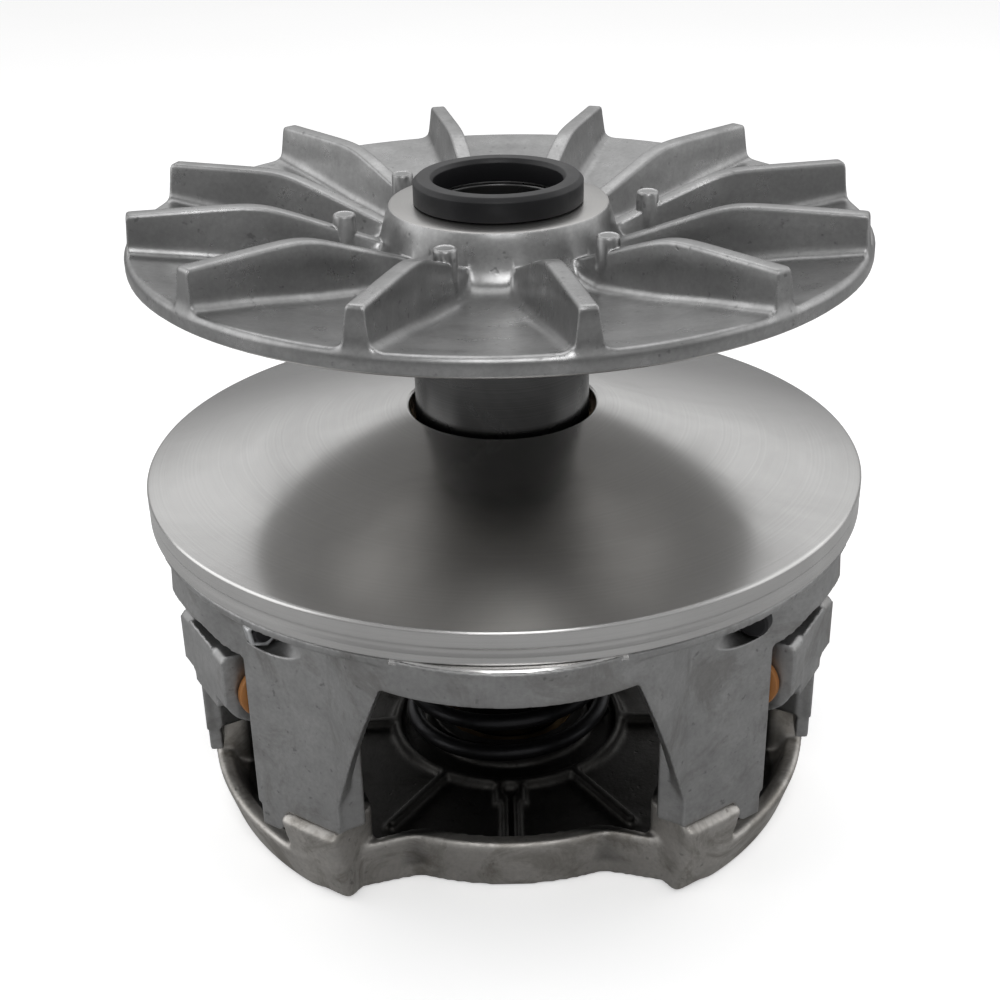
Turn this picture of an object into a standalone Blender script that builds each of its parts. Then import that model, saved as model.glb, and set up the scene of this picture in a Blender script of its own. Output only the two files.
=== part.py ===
"""Drive clutch (primary pulley) of an off-road CVT, standing on its outer cover, engine side up.

Frame: metres, +Z up along the shaft, origin on the shaft axis in the plane the cover stands on.
Lengths below are millimetres, heights are measured from that plane, and azimuths are degrees
from the front (-Y) towards +X. The clutch repeats every 120 degrees: windows at 0, 120 and 240,
roller stations at 60, 180 and 300, with one tower of the movable sheave on each side of a station.
"""

import math

import bmesh
import bpy
from mathutils import Vector

MM = 0.001

# Driving dimensions
SHEAVE_R = 100.0                 # movable sheave, rim radius
FIXED_R = 98.0                   # fixed sheave, rim radius
RIM_Z = 101.1                    # upper edge of the movable sheave's rim, fully open
BELT_SLOPE = 0.207               # rise of a belt face per millimetre of radius
SHIFT = 28.0                     # travel of the movable sheave
GAP = 0.3                        # clearance left between neighbouring solids

POST_R = 24.3                    # belt surface of the centre post
POST_TOP = RIM_Z + 72.1
POST_STEP = RIM_Z - 28.0         # shoulder that the spider seats on
POST_LOW_R = 17.0
POST_END = 4.0
BORE_MOUTH_R = 17.15
BORE_END_R = 13.5
BORE_TAPER_END = RIM_Z - 12.0
BOLT_BORE_R = 7.5

FIXED_RIM_Z = RIM_Z + 61.3       # lower edge of the fixed sheave's rim
FIXED_BORE_R = 21.3
HUB_R = 29.4
HUB_Z = RIM_Z + 72.4
COLLAR_R = (17.15, 22.55)
COLLAR_Z = (RIM_Z + 72.75, RIM_Z + 79.1)

FINS = 12
FIN_FIRST_AZ = 11.0
FIN_TOP = RIM_Z + 76.3
FIN_BREAK_R = 62.0               # inside this radius the fin's top slopes down to the hub
FIN_INNER = (34.0, RIM_Z + 65.0)
FIN_OUTER_R = 96.2
FIN_HALF = (2.2, 3.0)            # half thickness at the top and at the root
PIN_BOSS = (41.0, 3.0, RIM_Z + 72.0)   # circle radius, boss radius, top

WINDOWS = (0.0, 120.0, 240.0)
STATIONS = (60.0, 180.0, 300.0)
SIDES = (-1, 1)
PANEL_AZ = 34.6                  # direction a tower's outer panel faces, from its window
PANEL_D = 89.7                   # distance of that panel from the shaft axis
PANEL_FROM, PANEL_TO = 30.0, 48.0
LOBE_R, LOBE_OFFSET = 57.9, 44.3       # round bulge of the casting over each window
SKIRT_R = 98.3
SKIRT_LOW = RIM_Z - 21.5
LOBE_LOW = RIM_Z - 19.7
BAND_LOW = RIM_Z - 9.3            # underside of the rim band
TOWER_LOW = RIM_Z - 75.0
GUSSET_FROM, GUSSET_LOW = 18.5, RIM_Z - 66.0
WALL = 4.5
TAB = ((11.0, TOWER_LOW + 0.4), (13.6, RIM_Z - 81.6), (15.0, RIM_Z - 82.6), (20.6, RIM_Z - 82.6),
       (20.6, TOWER_LOW + 4.0), (11.0, TOWER_LOW + 4.0))     # low corner of a panel, by its slot
SLOT_HALF = 17.9                 # half width between the two towers of a station
MOVABLE_BORE_R = 26.3
MOVABLE_HUB_R = 32.0
MOVABLE_HUB_LOW = RIM_Z - 26.0

PIVOT_U, PIVOT_Z = 86.0, RIM_Z - 20.0  # flyweight pivot: radius along its station, height
PIVOT_R = 2.9
NUT_BORE_R = (PIVOT_R + GAP) / math.cos(math.radians(30.0))   # corners of a six-sided bore
POCKET_R = 5.0
POCKET_FROM = 21.0
ROLLER_U, ROLLER_Z = 83.5, RIM_Z - 43.0
ROLLER_R, ROLLER_HALF = 7.0, 6.4
PIN_R = 3.0
WEIGHT_HALF = 5.2
HEEL_R = 5.8                     # flyweight's eye around its pivot
WEIGHT_TURN = math.radians(24.0)       # swing of a flyweight over the whole shift

ARM_HALF, ARM_SLOT_HALF = 15.0, 7.2
ARM_END_U, ARM_WALL = 95.0, 3.6
ARM_TOP, ARM_LOW = RIM_Z - 30.6, RIM_Z - 50.0
WEB_R, WEB_LOW = 38.0, RIM_Z - 36.0
SPIDER_HUB_R, SPIDER_LOW = 22.0, RIM_Z - 50.0
BUTTON_R, BUTTON_T = 8.0, 2.2

COVER_R = 89.4
COVER_WINDOW_R = 69.0
COVER_LIP_T = 5.0
COVER_FLOOR = (4.0, 8.0)
COVER_BOSS_R, COVER_BOSS_TOP = 25.0, 15.0
PAD_TOP = TOWER_LOW - GAP
RIB_AZ, RIB_REACH = 33.0, 63.0   # diagonal ribs towards the pads, and how far all ribs reach
SCREW_D, SCREW_T = 80.0, 3.0     # cover screw: distance along and across its panel's direction
SCREW_R, SCREW_HEAD_R = 3.0, 4.9

SPRING_R, SPRING_WIRE_R, SPRING_TURNS = 29.0, 2.4, 5.0
SPRING_Z = (COVER_FLOOR[1] + GAP, WEB_LOW - GAP)


def clear_scene():
    for old in list(bpy.data.objects):
        bpy.data.objects.remove(old, do_unlink=True)


def make_material(name, colour, roughness, metallic):
    material = bpy.data.materials.new(name)
    material.use_nodes = True
    shader = material.node_tree.nodes["Principled BSDF"]
    shader.inputs["Base Color"].default_value = (*colour, 1.0)
    shader.inputs["Roughness"].default_value = roughness
    shader.inputs["Metallic"].default_value = metallic
    material.diffuse_color = (*colour, 1.0)
    return material


def outward(azimuth):
    """Unit vector pointing away from the shaft at an azimuth."""
    a = math.radians(azimuth)
    return Vector((math.sin(a), -math.cos(a), 0.0))


def across(azimuth):
    """Unit vector at right angles to outward(), towards larger azimuths."""
    a = math.radians(azimuth)
    return Vector((math.cos(a), math.sin(a), 0.0))


def place(azimuth, u, s, z):
    """Point from its distance along an azimuth, its offset across it, and its height."""
    return outward(azimuth) * u + across(azimuth) * s + Vector((0.0, 0.0, z))


def folded(azimuth):
    """Angle from the nearest window's centre, 0 to 60."""
    turn = azimuth % 120.0
    return min(turn, 120.0 - turn)


def smooth_step(value, low, high):
    t = min(max((value - low) / (high - low), 0.0), 1.0)
    return t * t * (3.0 - 2.0 * t)


def make_object(name, points, faces, material, origin=(0.0, 0.0, 0.0), parent=None, sharp=35.0):
    """A closed mesh from points in millimetres, with its origin at a chosen point."""
    base = Vector(origin)
    mesh = bpy.data.meshes.new(name)
    mesh.from_pydata([(Vector(p) - base) * MM for p in points], [], faces)
    work = bmesh.new()
    work.from_mesh(mesh)
    bmesh.ops.recalc_face_normals(work, faces=work.faces)
    work.to_mesh(mesh)
    work.free()
    mesh.materials.append(material)
    mesh.shade_smooth()
    mesh.set_sharp_from_angle(angle=math.radians(sharp))
    made = bpy.data.objects.new(name, mesh)
    bpy.context.collection.objects.link(made)
    made.location = base * MM
    if parent:
        bpy.context.view_layer.update()
        made.parent = parent
        made.matrix_parent_inverse = parent.matrix_world.inverted()
    return made


def make_empty(name, origin, parent=None):
    empty = bpy.data.objects.new(name, None)
    bpy.context.collection.objects.link(empty)
    empty.location = Vector(origin) * MM
    empty.empty_display_size = 0.02
    bpy.context.view_layer.update()
    if parent:
        empty.parent = parent
        empty.matrix_parent_inverse = parent.matrix_world.inverted()
        bpy.context.view_layer.update()
    return empty


def combine(base, tools, operation, solver="EXACT"):
    """Boolean each tool into the base, keep the result as its mesh, and remove the tools."""
    for tool in tools:
        modifier = base.modifiers.new(operation.lower(), "BOOLEAN")
        modifier.operation = operation
        modifier.solver = solver
        modifier.object = tool
        bpy.context.view_layer.update()
        evaluated = base.evaluated_get(bpy.context.evaluated_depsgraph_get())
        result = bpy.data.meshes.new_from_object(evaluated)
        base.modifiers.remove(modifier)
        base.data = result
        bpy.data.objects.remove(tool, do_unlink=True)
    work = bmesh.new()
    work.from_mesh(base.data)
    bmesh.ops.remove_doubles(work, verts=work.verts, dist=0.00001)
    bmesh.ops.dissolve_degenerate(work, edges=work.edges, dist=0.00001)
    work.to_mesh(base.data)
    work.free()
    return base


def polar_solid(name, loop_at, azimuths, material, **options):
    """A ring solid: loop_at(azimuth) gives the closed section, as (radius, height) points."""
    points, faces = [], []
    loops = [loop_at(a) for a in azimuths]
    size = len(loops[0])
    for azimuth, loop in zip(azimuths, loops):
        points += [place(azimuth, r, 0.0, z) for r, z in loop]
    count = len(azimuths)
    for i in range(count):
        j = (i + 1) % count
        for k in range(size):
            m = (k + 1) % size
            faces.append((i * size + k, j * size + k, j * size + m, i * size + m))
    return make_object(name, points, faces, material, **options)


def turned(name, loop, material, segments=40, **options):
    """A ring solid of constant section."""
    azimuths = [360.0 * i / segments for i in range(segments)]
    return polar_solid(name, lambda azimuth: loop, azimuths, material, **options)


def prism(name, outline, start, step, material, **options):
    """Extrude an outline of points by one step, after moving it by start."""
    first = [Vector(p) + Vector(start) for p in outline]
    last = [p + Vector(step) for p in first]
    count = len(outline)
    faces = [tuple(range(count)), tuple(range(2 * count - 1, count - 1, -1))]
    for i in range(count):
        j = (i + 1) % count
        faces.append((i, count + i, count + j, j))
    return make_object(name, first + last, faces, material, **options)


def station_box(name, azimuth, u_range, s_range, z_range, material):
    """A box with its sides along and across an azimuth."""
    u0, u1 = u_range
    s0, s1 = s_range
    corners = ((u0, s0), (u1, s0), (u1, s1), (u0, s1))
    outline = [place(azimuth, u, s, z_range[0]) for u, s in corners]
    return prism(name, outline, (0, 0, 0), (0, 0, z_range[1] - z_range[0]), material)


def rod(name, centre, axis, radius, span, material, segments=24, turn=0.0, bore=0.0, **options):
    """A round bar or tube, or a hexagon with six segments, along an axis through a centre."""
    axis = Vector(axis).normalized()
    side = axis.orthogonal().normalized()
    up = axis.cross(side)
    angles = [2.0 * math.pi * i / segments + turn for i in range(segments)]
    rings = [(radius, span[0]), (radius, span[1])]
    if bore:
        rings += [(bore, span[1]), (bore, span[0])]
    points, faces = [], []
    for r, along in rings:
        points += [Vector(centre) + axis * along + (side * math.cos(a) + up * math.sin(a)) * r
                   for a in angles]
    last = len(rings) if bore else len(rings) - 1
    for k in range(last):
        m = (k + 1) % len(rings)
        for i in range(segments):
            j = (i + 1) % segments
            faces.append((k * segments + i, k * segments + j, m * segments + j, m * segments + i))
    if not bore:
        faces.append(tuple(range(segments)))
        faces.append(tuple(range(2 * segments - 1, segments - 1, -1)))
    return make_object(name, points, faces, material, **options)


# Sections and outlines that more than one piece shares


def belt_height(rim_z, direction, r):
    """Height of a belt face at a radius."""
    return rim_z + direction * BELT_SLOPE * (SHEAVE_R - r)


def casting_radius(azimuth, z):
    """Outer radius of the movable sheave's casting below its rim."""
    a = folded(azimuth)
    reach = LOBE_OFFSET * math.sin(math.radians(a))
    lobe = LOBE_OFFSET * math.cos(math.radians(a)) + math.sqrt(LOBE_R ** 2 - reach ** 2)
    panel = PANEL_D / math.cos(math.radians(a - PANEL_AZ))
    skirt = SKIRT_R - 0.4 * smooth_step(z, SKIRT_LOW, SKIRT_LOW + 8.0)
    if a <= PANEL_FROM + 1.0:
        blend = smooth_step(a, PANEL_FROM - 2.0, PANEL_FROM + 1.0)
        return lobe + (panel - lobe) * blend
    blend = smooth_step(a, PANEL_TO - 1.0, PANEL_TO + 7.0)
    return panel + (skirt - panel) * blend if a < PANEL_TO + 7.0 else skirt


def casting_low(azimuth):
    """Lower edge of that casting's outer wall."""
    a = folded(azimuth)
    if a <= GUSSET_FROM:
        return LOBE_LOW
    if a < PANEL_FROM:
        part = (a - GUSSET_FROM) / (PANEL_FROM - GUSSET_FROM)
        return LOBE_LOW + (GUSSET_LOW - LOBE_LOW) * part
    return TOWER_LOW if a <= PANEL_TO else SKIRT_LOW


def cover_radius(azimuth):
    """Outer radius of the cover: drawn in at the windows, round at the stations."""
    blend = smooth_step(folded(azimuth), 20.0, 40.0)
    return COVER_WINDOW_R + (COVER_R - COVER_WINDOW_R) * blend


def screw_places():
    """Azimuth, distance and offset of each cover screw."""
    for window in WINDOWS:
        for side in SIDES:
            yield window + side * PANEL_AZ, SCREW_D, side * SCREW_T


def build_post(material):
    loop = [
        (21.0, POST_TOP), (21.0, FIXED_RIM_Z - 15.6), (POST_R, FIXED_RIM_Z - 15.6),
        (POST_R, POST_STEP), (POST_LOW_R, POST_STEP), (POST_LOW_R, POST_END),
        (BOLT_BORE_R, POST_END), (BOLT_BORE_R, RIM_Z - 24.0), (BORE_END_R, BORE_TAPER_END),
        (BORE_MOUTH_R, POST_TOP),
    ]
    return turned("center_post", loop, material)


def build_fixed_sheave(material):
    """Disc, hub and fins on one polar grid, with the moulding-pin bosses joined on."""
    back = [
        (31.2, RIM_Z + 66.0), (34.5, RIM_Z + 59.5), (42.0, RIM_Z + 58.3), (FIN_BREAK_R, RIM_Z + 60.8),
        (80.0, RIM_Z + 64.0), (FIN_OUTER_R, RIM_Z + 66.3), (FIN_OUTER_R + 0.7, RIM_Z + 66.4),
    ]
    front = [
        (FIXED_R - 0.7, RIM_Z + 66.2), (FIXED_R, RIM_Z + 65.4), (FIXED_R, FIXED_RIM_Z + 0.9),
        (FIXED_R - 0.9, FIXED_RIM_Z),
        (POST_R + GAP, belt_height(FIXED_RIM_Z, -1, POST_R + GAP)),
        (FIXED_BORE_R, belt_height(FIXED_RIM_Z, -1, POST_R + GAP) + GAP),
        (FIXED_BORE_R, HUB_Z),
    ]

    def fin_height(r, floor):
        if r > FIN_OUTER_R + 0.1 or r < 32.0:
            return floor
        if r >= FIN_BREAK_R:
            return FIN_TOP
        part = (r - FIN_INNER[0]) / (FIN_BREAK_R - FIN_INNER[0])
        return FIN_INNER[1] + (FIN_TOP - FIN_INNER[1]) * part

    offsets = [(-15.0, None), (-8.0, None), (0.0, -FIN_HALF[1]), (0.0, -FIN_HALF[0]),
               (0.0, FIN_HALF[0]), (0.0, FIN_HALF[1]), (8.0, None)]
    points, faces = [], []
    size = 1 + len(back) + len(front)
    for fin in range(FINS):
        centre = FIN_FIRST_AZ + 360.0 * fin / FINS
        for turn, offset in offsets:
            on_fin = offset is not None and abs(offset) < FIN_HALF[1]
            column = [(HUB_R, HUB_Z)]
            column += [(r, fin_height(r, z) if on_fin else z) for r, z in back]
            column += front
            for index, (r, z) in enumerate(column):
                if offset is None or r > FIN_OUTER_R - 0.1 or index > len(back) or index == 0:
                    around = turn if offset is None else math.degrees(offset / max(r, 30.0))
                    points.append(place(centre + around, r, 0.0, z))
                else:
                    points.append(place(centre, r, offset, z))
    count = FINS * len(offsets)
    for i in range(count):
        j = (i + 1) % count
        for k in range(size):
            m = (k + 1) % size
            faces.append((i * size + k, j * size + k, j * size + m, i * size + m))
    sheave = make_object("fixed_sheave", points, faces, material)
    circle, radius, top = PIN_BOSS
    low = RIM_Z + 57.0
    bosses = [rod("boss", place(FIN_FIRST_AZ + 30.0 + 60.0 * i, circle, 0.0, low), (0, 0, 1), radius,
                  (0.0, top - low), material, segments=16) for i in range(6)]
    return combine(sheave, bosses, "UNION")


def build_collar(material):
    inner, outer = COLLAR_R
    low, high = COLLAR_Z
    loop = [(outer, low), (inner, low), (inner, high - 1.2), (inner + 1.2, high),
            (outer - 1.2, high), (outer, high - 1.2)]
    return turned("shaft_collar", loop, material)


def build_spider(material):
    """Hub and three slotted arms that carry the rollers."""
    hub = [(POST_LOW_R + GAP, POST_STEP - 2.4), (POST_LOW_R + GAP, SPIDER_LOW),
           (SPIDER_HUB_R, SPIDER_LOW), (SPIDER_HUB_R, WEB_LOW), (WEB_R, WEB_LOW),
           (WEB_R, POST_STEP - 2.4)]
    spider = turned("spider", hub, material, segments=48)
    tools, holes = [], []
    rail_s = (ARM_SLOT_HALF, ARM_HALF)
    for azimuth in STATIONS:
        for side in SIDES:
            s_range = sorted((side * rail_s[0], side * rail_s[1]))
            outline = [
                place(azimuth, 34.0, s_range[0], ARM_TOP), place(azimuth, ARM_END_U, s_range[0], ARM_TOP),
                place(azimuth, ARM_END_U, s_range[0], ARM_LOW - 0.2),
                place(azimuth, ARM_END_U - 5.0, s_range[0], ARM_LOW - 3.2),
                place(azimuth, 76.0, s_range[0], ARM_LOW - 3.2),
                place(azimuth, 36.0, s_range[0], WEB_LOW - 2.0), place(azimuth, 34.0, s_range[0], WEB_LOW - 0.5),
            ]
            step = across(azimuth) * (s_range[1] - s_range[0])
            tools.append(prism("rail", outline, (0, 0, 0), step, material))
        tools.append(station_box("end", azimuth, (ARM_END_U - ARM_WALL, ARM_END_U - 0.4),
                                 (-ARM_SLOT_HALF - 1.0, ARM_SLOT_HALF + 1.0),
                                 (ARM_LOW + 0.4, ARM_TOP - 0.4), material))
        holes.append(rod("pin_hole", place(azimuth, ROLLER_U, 0.0, ROLLER_Z), across(azimuth),
                         PIN_R + GAP, (-ARM_HALF - 2.0, ARM_HALF + 2.0), material, segments=20))
    combine(spider, tools, "UNION")
    return combine(spider, holes, "DIFFERENCE")


def build_movable_sheave(material):
    """Disc and hub, the outer wall with its six panels and window frames, and the tower walls."""
    top = BAND_LOW
    disc = [
        (MOVABLE_BORE_R, belt_height(RIM_Z, 1, MOVABLE_BORE_R)), (99.4, RIM_Z + 0.15),
        (SHEAVE_R, RIM_Z - 0.5), (SHEAVE_R, RIM_Z - 2.6), (99.3, RIM_Z - 3.1), (99.3, RIM_Z - 3.9),
        (SHEAVE_R, RIM_Z - 4.4), (SHEAVE_R, top), (94.0, top), (MOVABLE_HUB_R + 5.0, RIM_Z + 4.6),
        (MOVABLE_HUB_R, RIM_Z + 1.0), (MOVABLE_HUB_R, MOVABLE_HUB_LOW), (MOVABLE_BORE_R, MOVABLE_HUB_LOW),
    ]
    sheave = turned("movable_sheave", disc, material, segments=64)

    def skin(azimuth):
        low = casting_low(azimuth)
        levels = (top + 3.5, top - 0.4, SKIRT_LOW + 6.0, max(low, SKIRT_LOW - 0.1), low)
        outer = [(casting_radius(azimuth, z), z) for z in levels]
        outer[0] = (min(outer[0][0], 98.6) - 1.5, top + 3.5)
        if low > SKIRT_LOW - 1.0:
            outer[3] = (outer[3][0], low + 1.0)
        thickness = 3.1 if folded(azimuth) > PANEL_TO + 0.5 else WALL
        inner = [(min(r, 98.6) - thickness, z) for r, z in reversed(outer)]
        return outer + inner

    half = [0.0, 6.2, 12.4, GUSSET_FROM, 24.2, PANEL_FROM - 0.4, PANEL_FROM, 32.0, 40.0,
            PANEL_TO, PANEL_TO + 0.5, 51.5, 55.3, 60.0]
    azimuths = []
    for window in WINDOWS:
        azimuths += [window + a for a in half] + [window + 120.0 - a for a in reversed(half[1:-1])]
    tools = [polar_solid("skin", skin, azimuths, material)]
    for azimuth in STATIONS:
        for side in SIDES:
            def span(low, high, side=side):
                return sorted((side * low, side * high))
            walls = (((62.0, 86.6), (SLOT_HALF, SLOT_HALF + 4.6)),
                     ((69.8, 76.4), (40.4, 44.4)))
            for u_range, (s0, s1) in walls:
                tools.append(station_box("wall", azimuth, u_range, span(s0, s1),
                                         (TOWER_LOW + 0.4, RIM_Z + 0.6), material))
            foot = [place(azimuth, u, side * s, TOWER_LOW + 0.2) for u, s in
                    ((70.0, SLOT_HALF + 2.0), (86.4, SLOT_HALF + 2.0), (75.6, 43.0), (70.0, 43.0))]
            tools.append(prism("foot", foot, (0, 0, 0), (0, 0, 7.0), material))
    for azimuth, d, t in screw_places():
        tools.append(rod("boss", place(azimuth, d, t, TOWER_LOW + 0.1), (0, 0, 1), 6.2, (0.0, 26.0),
                         material, segments=18))
        side = 1 if t > 0 else -1
        tab = [place(azimuth, PANEL_D - 0.2, side * s, z) for s, z in TAB]
        tools.append(prism("tab", tab, (0, 0, 0), outward(azimuth) * -3.8, material))
    combine(sheave, tools, "UNION", "MANIFOLD")
    cuts = []
    for azimuth in STATIONS:
        axis = across(azimuth)
        pivot = place(azimuth, PIVOT_U, 0.0, PIVOT_Z)
        cuts.append(rod("pivot_hole", pivot, axis, PIVOT_R + GAP, (-30.0, 30.0), material, segments=12))
        for side in SIDES:
            span = sorted((side * POCKET_FROM, side * 50.0))
            cuts.append(rod("pocket", pivot, axis, POCKET_R, span, material, segments=16))
    for azimuth, d, t in screw_places():
        cuts.append(rod("screw_hole", place(azimuth, d, t, TOWER_LOW - 1.0), (0, 0, 1), SCREW_R + GAP,
                        (0.0, 22.0), material, segments=12))
    return combine(sheave, cuts, "DIFFERENCE", "MANIFOLD")


def build_cover(material):
    """Dished cover with a pad under each tower, its bushing boss and its ribs."""
    def section(azimuth):
        r = cover_radius(azimuth)
        a = folded(azimuth)
        high = 15.0 - 2.0 * smooth_step(a, 30.0, 45.0)
        floor_low, floor_high = COVER_FLOOR
        return [
            (POST_LOW_R + 3.2, 0.0), (27.0, 0.0), (28.5, floor_low), (r - 9.0, floor_low), (r - 7.5, 0.0),
            (r - 1.2, 0.0), (r, 1.6), (r + 0.6, high - 0.8), (r - 0.2, high),
            (r - COVER_LIP_T + 1.0, high), (r - COVER_LIP_T - 0.8, floor_high + 1.2),
            (r - COVER_LIP_T - 2.4, floor_high), (36.0, floor_high), (35.0, floor_high + 3.0),
            (33.2, floor_high + 3.0), (32.6, floor_high), (COVER_BOSS_R, floor_high),
            (COVER_BOSS_R - 1.0, COVER_BOSS_TOP), (POST_LOW_R + 3.2, COVER_BOSS_TOP),
        ]

    count = 54
    cover = polar_solid("cover", section, [360.0 * i / count for i in range(count)], material)
    tools = []
    for azimuth, d, t in screw_places():
        side = 1 if t > 0 else -1
        corners = ((70.0, 0.0), (74.5, -5.4), (88.2, -5.4), (88.2, 8.6), (84.0, 12.4), (70.0, 12.4))
        outline = [place(azimuth, u, side * s, COVER_FLOOR[0] + 0.6) for u, s in corners]
        tools.append(prism("pad", outline, (0, 0, 0), (0, 0, PAD_TOP - COVER_FLOOR[0] - 0.6), material))
    for window in WINDOWS:
        for turn, half in ((0.0, 2.4), (-RIB_AZ, 1.3), (RIB_AZ, 1.3)):
            tools.append(station_box("rib", window + turn, (34.2, RIB_REACH), (-half, half),
                                     (COVER_FLOOR[1] - 1.0, COVER_FLOOR[1] + 2.4), material))
    combine(cover, tools, "UNION")
    cuts = []
    for azimuth, d, t in screw_places():
        centre = place(azimuth, d, t, 0.0)
        cuts.append(rod("screw_hole", centre, (0, 0, 1), SCREW_R + GAP, (-2.0, PAD_TOP + 2.0), material,
                        segments=16))
        cuts.append(rod("counterbore", centre, (0, 0, 1), SCREW_HEAD_R + 0.7, (-2.0, 9.0), material,
                        segments=20))
    return combine(cover, cuts, "DIFFERENCE")


def build_spring(material):
    """Round wire wound at constant radius, with the end turns laid almost flat."""
    per_turn, sides = 12, 6
    steps = int(per_turn * SPRING_TURNS)
    low = SPRING_Z[0] + SPRING_WIRE_R
    high = SPRING_Z[1] - SPRING_WIRE_R
    points, faces = [], []
    for i in range(steps + 1):
        part = i / steps
        angle = 2.0 * math.pi * SPRING_TURNS * part
        rise = smooth_step(part, 0.0, 1.0) * 0.45 + part * 0.55
        centre = Vector((SPRING_R * math.cos(angle), SPRING_R * math.sin(angle), low + (high - low) * rise))
        radial = Vector((math.cos(angle), math.sin(angle), 0.0))
        for k in range(sides):
            a = 2.0 * math.pi * k / sides
            points.append(centre + (radial * math.cos(a) + Vector((0, 0, 1)) * math.sin(a)) * SPRING_WIRE_R)
    for i in range(steps):
        for k in range(sides):
            m = (k + 1) % sides
            faces.append((i * sides + k, i * sides + m, (i + 1) * sides + m, (i + 1) * sides + k))
    faces.append(tuple(range(sides)))
    faces.append(tuple(range(steps * sides, (steps + 1) * sides)))
    return make_object("primary_spring", points, faces, material)


def weight_outline(azimuth):
    """Flyweight profile: its outer flank is the path the roller rolls along as the sheave moves."""
    steps = 12
    flank = []
    for i in range(steps + 1):
        q = (SHIFT + 2.0) * i / steps
        turn = WEIGHT_TURN * q / SHIFT
        rate = WEIGHT_TURN / SHIFT
        du, dw = ROLLER_U - PIVOT_U, ROLLER_Z - PIVOT_Z - q
        cu = math.cos(turn) * du + math.sin(turn) * dw
        cw = -math.sin(turn) * du + math.cos(turn) * dw
        tu = rate * (-math.sin(turn) * du + math.cos(turn) * dw) - math.sin(turn)
        tw = rate * (-math.cos(turn) * du - math.sin(turn) * dw) - math.cos(turn)
        size = math.hypot(tu, tw)
        offset = ROLLER_R + GAP
        thickness = 6.5 + 6.5 * math.sin(math.pi * min(i / steps + 0.12, 1.0))
        flank.append((cu + offset * tw / size, cw - offset * tu / size,
                      cu + (offset + thickness) * tw / size, cw - (offset + thickness) * tu / size))
    heel = [math.radians(a) for a in range(-115, 176, 29)]
    outline = [(HEEL_R * math.cos(a), HEEL_R * math.sin(a)) for a in heel]
    outline += [(p[2], p[3]) for p in flank]
    outline += [(p[0], p[1]) for p in reversed(flank)]
    return [place(azimuth, PIVOT_U + u, 0.0, PIVOT_Z + w) for u, w in outline]


def build_station(index, azimuth, materials, shaft, movable):
    """Roller, pin, buttons, flyweight and pivot of one station."""
    number = str(index + 1)
    axis = across(azimuth)
    hub = place(azimuth, ROLLER_U, 0.0, ROLLER_Z)
    pivot = place(azimuth, PIVOT_U, 0.0, PIVOT_Z)
    roller_axis = make_empty("roller_axis_" + number, hub, shaft)
    weight_axis = make_empty("weight_axis_" + number, pivot, movable)
    rod("roller_pin_" + number, hub, axis, PIN_R, (-ARM_HALF, ARM_HALF), materials["steel"],
        segments=16, origin=hub, parent=shaft)
    rod("roller_bushing_" + number, hub, axis, 4.5, (-ROLLER_HALF, ROLLER_HALF), materials["bronze"],
        segments=20, bore=PIN_R + GAP, origin=hub, parent=roller_axis)
    rod("roller_" + number, hub, axis, ROLLER_R, (-ROLLER_HALF, ROLLER_HALF), materials["steel"],
        segments=20, bore=4.5 + GAP, origin=hub, parent=roller_axis)
    for side, label in zip(SIDES, ("a", "b")):
        span = sorted((side * (ARM_HALF + GAP), side * (ARM_HALF + GAP + BUTTON_T)))
        rod("slider_button_" + number + label, hub, axis, BUTTON_R, span, materials["polymer"],
            segments=20, origin=hub, parent=shaft)
    weight = prism("flyweight_" + number, weight_outline(azimuth), -axis * WEIGHT_HALF,
                   axis * 2.0 * WEIGHT_HALF, materials["forged"], origin=pivot, parent=weight_axis)
    bore = rod("bore", pivot, axis, 4.2 + GAP, (-10.0, 10.0), materials["forged"], segments=20)
    combine(weight, [bore], "DIFFERENCE")
    rod("flyweight_bushing_" + number, pivot, axis, 4.2, (-WEIGHT_HALF, WEIGHT_HALF),
        materials["bronze"], segments=20, bore=PIVOT_R + GAP, origin=pivot, parent=weight_axis)
    bolt = rod("pivot_bolt_" + number, pivot, axis, PIVOT_R, (-POCKET_FROM - 2.0, 25.6), materials["steel"],
               segments=16, origin=pivot, parent=movable)
    head = rod("head", pivot, axis, 4.5, (-POCKET_FROM - GAP - 4.0, -POCKET_FROM - GAP),
               materials["steel"], segments=20)
    combine(bolt, [head], "UNION")
    rod("pivot_nut_" + number, pivot, axis, 4.6, (POCKET_FROM + GAP, POCKET_FROM + GAP + 3.6),
        materials["zinc"], segments=6, bore=NUT_BORE_R, origin=pivot, parent=movable)


def build_screws(material, movable):
    for index, (azimuth, d, t) in enumerate(screw_places()):
        centre = place(azimuth, d, t, 0.0)
        screw = rod("cover_screw_" + str(index + 1), centre, (0, 0, 1), SCREW_R, (5.0, PAD_TOP + 14.0),
                    material, segments=16, origin=centre, parent=movable)
        head = rod("head", centre, (0, 0, 1), SCREW_HEAD_R, (3.4, 8.6), material, segments=6)
        combine(screw, [head], "UNION")


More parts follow.
